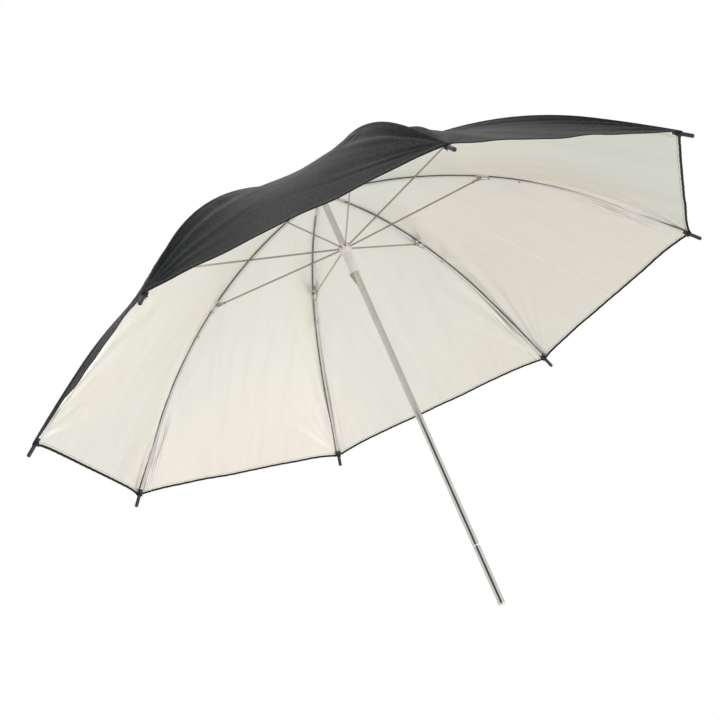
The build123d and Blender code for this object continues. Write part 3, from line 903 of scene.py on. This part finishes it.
def make_ties(number):
    """Threads that tie the cloth to a rib, and the wrapping of its tip."""
    angle = (number - 1) * RIB_STEP
    around_rib = {"pitch": 0.00065, "half_width": 0.0021, "low": -0.0013, "high": 0.0023}
    pale = winding(angle, TIE_DISTANCE, turns=4, thread=0.00024, **around_rib)
    pale += winding(angle, RIVET_DISTANCE + 0.0085, turns=3, thread=0.00022, **around_rib)
    tie = add_object(f"rib_tie_{number}", *joined(pale))
    tie.data.materials.append(PALE_THREAD)
    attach(tie, f"rib_{number}")
    end = straight_distance(TIP_WRAP_RADIUS)
    dark = winding(
        angle, end, turns=7, pitch=0.00075, half_width=0.00260, low=-0.00190, high=0.00275, thread=0.00040
    )
    wrap = add_object(f"tip_wrap_{number}", *joined(dark))
    wrap.data.materials.append(THREAD)
    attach(wrap, f"rib_{number}")


for number in range(1, RIBS + 1):
    gore = make_gore(number)
    hem = make_hem(number)
    stitches = make_hem_stitches(number)
    outside_lifts, inside_lifts = (0.00030, 0.00055, 0.00085), (-0.00045, -0.00050, -0.00050)
    make_seam_strip(
        "seam_outside", number, SEAM_OUTSIDE_REACH, SEAM_BURIED, outside_lifts, BLACK
    )
    make_seam_strip(
        "seam_inside", number, SEAM_INSIDE_REACH, -SEAM_BURIED, inside_lifts, SILVER
    )
    make_seam_stitches(number)
    make_joint_pad(number)
    make_ties(number)

repaint_cad()


# ---------------------------------------------------------------- camera, floor and light
CAMERA_PLACE = (0.5262, 1.6601, -0.2740)
CAMERA_HEADING, CAMERA_CLIMB, CAMERA_ROLL = -106.39, 19.014, -23.503        # degrees
CAMERA_LENS = 78.77                                                         # mm
AIM = (0.0, 0.0, 0.45)              # the lights face the canopy's middle
LOW_DISTANCE, LOW_HEIGHT = 2.3, -0.28       # low, to keep their reflections off the shaft's lower part
LOW_LIGHTS = (("left", 23.0, 11.0), ("right", 127.0, 21.0), ("side", 173.0, 7.0))       # heading, watts
BACKDROP_STOPS = ((0.0, 0.80), (0.62, 1.04), (0.90, 0.10))
FLOOR_HEIGHT, FLOOR_SIZE = -0.6, 30.0


def make_camera():
    """Camera below the rim, looking up into the canopy, rolled to the left."""
    heading, climb, roll = radians(CAMERA_HEADING), radians(CAMERA_CLIMB), radians(CAMERA_ROLL)
    ahead = Vector((cos(climb) * cos(heading), cos(climb) * sin(heading), sin(climb)))
    level_right = ahead.cross(Vector((0, 0, 1))).normalized()
    level_up = level_right.cross(ahead)
    right = level_right * cos(roll) + level_up * sin(roll)
    up = level_up * cos(roll) - level_right * sin(roll)
    data = bpy.data.cameras.new("camera")
    data.sensor_width = 36.0
    data.lens = CAMERA_LENS
    data.clip_start, data.clip_end = 0.05, 100.0
    camera = bpy.data.objects.new("camera", data)
    turn = Matrix((right, up, -ahead)).transposed()
    camera.matrix_world = Matrix.Translation(CAMERA_PLACE) @ turn.to_4x4()
    bpy.context.scene.collection.objects.link(camera)
    bpy.context.scene.camera = camera


def make_floor(height, size):
    """Plain pale floor, well below the shaft's free end."""
    corners = [(-size, -size, height), (size, -size, height), (size, size, height), (-size, size, height)]
    floor = add_object("floor", corners, [(0, 1, 2, 3)], smooth=False)
    paint = Paint("pale_floor", (0.30, 0.30, 0.30), 0.9, Emission_Strength=0.50)
    paint.shader.inputs["Emission Color"].default_value = (1.0, 1.0, 0.99, 1.0)
    floor.data.materials.append(paint.finish())


def add_area_light(name, place, width, height, power):
    """Rectangular light that faces AIM."""
    data = bpy.data.lights.new(name, "AREA")
    data.shape = "RECTANGLE"
    data.energy, data.size, data.size_y = power, width, height
    light = bpy.data.objects.new(name, data)
    light.location = place
    aim = Vector(AIM) - Vector(place)
    light.rotation_euler = aim.to_track_quat("-Z", "Y").to_euler()
    bpy.context.scene.collection.objects.link(light)


def make_world():
    """White backdrop; the light it gives is darker behind the camera, as in a studio."""
    world = bpy.data.worlds.new("studio")
    world.use_nodes = True
    tree = world.node_tree
    lit = tree.nodes["Background"]
    backdrop = tree.nodes.new("ShaderNodeBackground")
    backdrop.inputs["Color"].default_value = (1, 1, 1, 1)
    place = tree.nodes.new("ShaderNodeTexCoord")
    facing = tree.nodes.new("ShaderNodeVectorMath")
    facing.operation = "DOT_PRODUCT"
    facing.inputs[1].default_value = (0.36, 0.93, 0.05)
    tree.links.new(place.outputs["Generated"], facing.inputs[0])
    ramp = tree.nodes.new("ShaderNodeValToRGB")
    elements = ramp.color_ramp.elements
    elements.new(0.5)
    for element, (position, shade) in zip(elements, BACKDROP_STOPS):
        element.position = position
        element.color = (shade, shade * 0.985, shade * 0.96, 1)
    tree.links.new(facing.outputs["Value"], ramp.inputs["Fac"])
    tree.links.new(ramp.outputs["Color"], lit.inputs["Color"])
    seen = tree.nodes.new("ShaderNodeLightPath")
    mix = tree.nodes.new("ShaderNodeMixShader")
    tree.links.new(seen.outputs["Is Camera Ray"], mix.inputs["Fac"])
    tree.links.new(lit.outputs[0], mix.inputs[1])
    tree.links.new(backdrop.outputs[0], mix.inputs[2])
    tree.links.new(mix.outputs[0], tree.nodes["World Output"].inputs["Surface"])
    bpy.context.scene.world = world


make_camera()
make_floor(FLOOR_HEIGHT, FLOOR_SIZE)
make_world()
for name, heading, power in LOW_LIGHTS:
    place = outward(heading) * LOW_DISTANCE + [0.0, 0.0, LOW_HEIGHT]
    add_area_light(name, place, width=2.6, height=0.56, power=power)
add_area_light("top", (-0.5, -1.2, 2.4), width=1.6, height=1.6, power=8.0)
add_area_light("back", (-0.6, -2.2, 1.6), width=1.6, height=1.6, power=24.0)
bpy.context.scene.view_settings.view_transform = "Standard"
